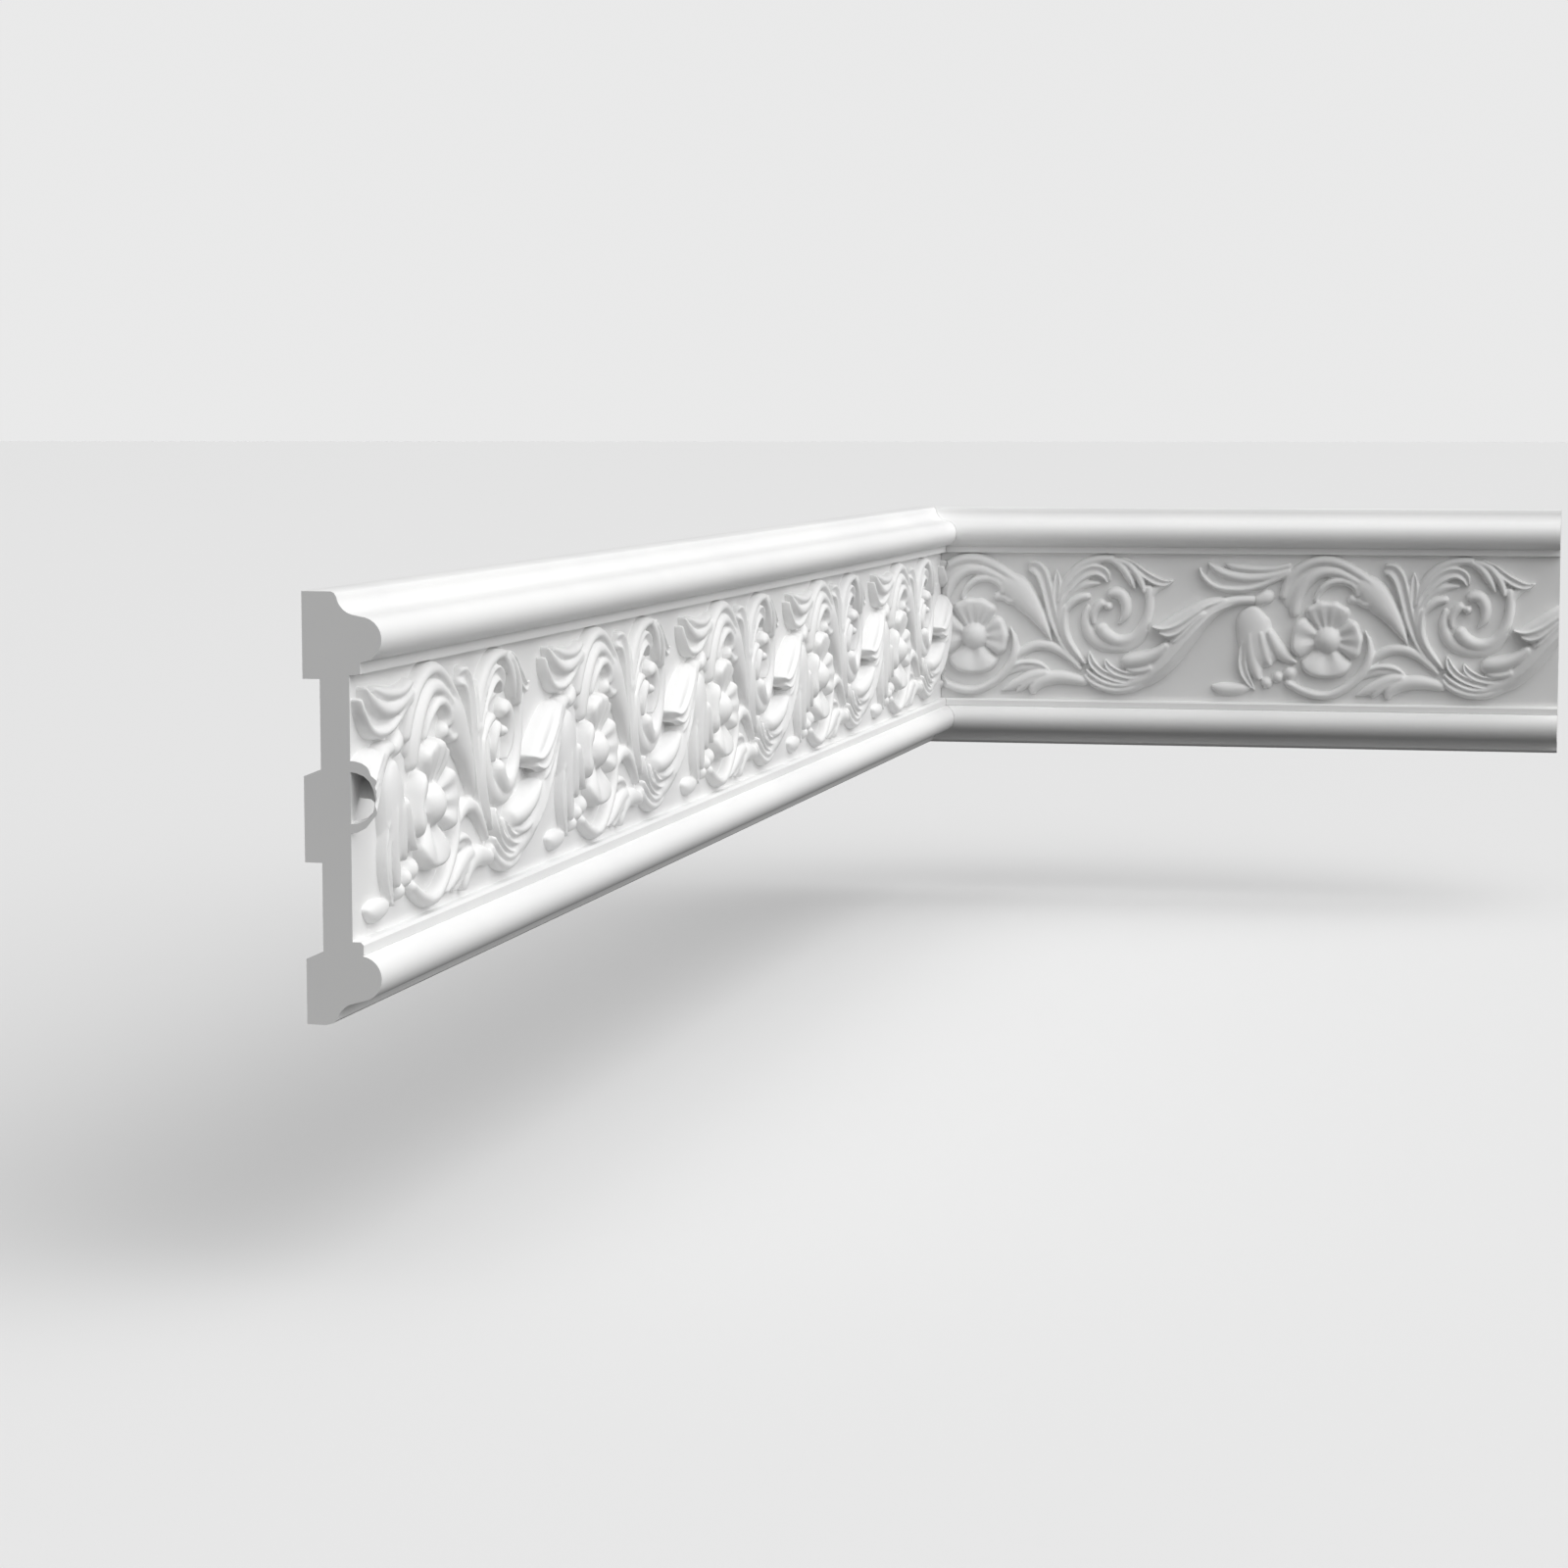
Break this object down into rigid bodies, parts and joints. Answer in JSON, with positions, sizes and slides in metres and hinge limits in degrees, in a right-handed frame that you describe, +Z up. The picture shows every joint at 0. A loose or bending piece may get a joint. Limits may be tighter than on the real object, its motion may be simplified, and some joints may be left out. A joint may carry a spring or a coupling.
{
  "type": "decorative wall moulding corner",
  "caption": "Inside corner of a cast wall moulding: mitred lengths with coved and beaded edges and a running relief of leaf scrolls, bell flowers and rosettes.",
  "frame": {"origin": "centre of the middle glue pad on the long left length's back face, half way along that length", "axes": "+X out of the left wall, along the short right length; +Y along the long left length towards the corner, into the right wall; +Z up"},
  "size_m": [0.3613, 1.027, 0.1349],
  "materials": {
    "casting": "satin white primer"
  },
  "bodies": {
    "root": {"left_length": "casting", "right_length": "casting"}
  },
  "joints": []
}
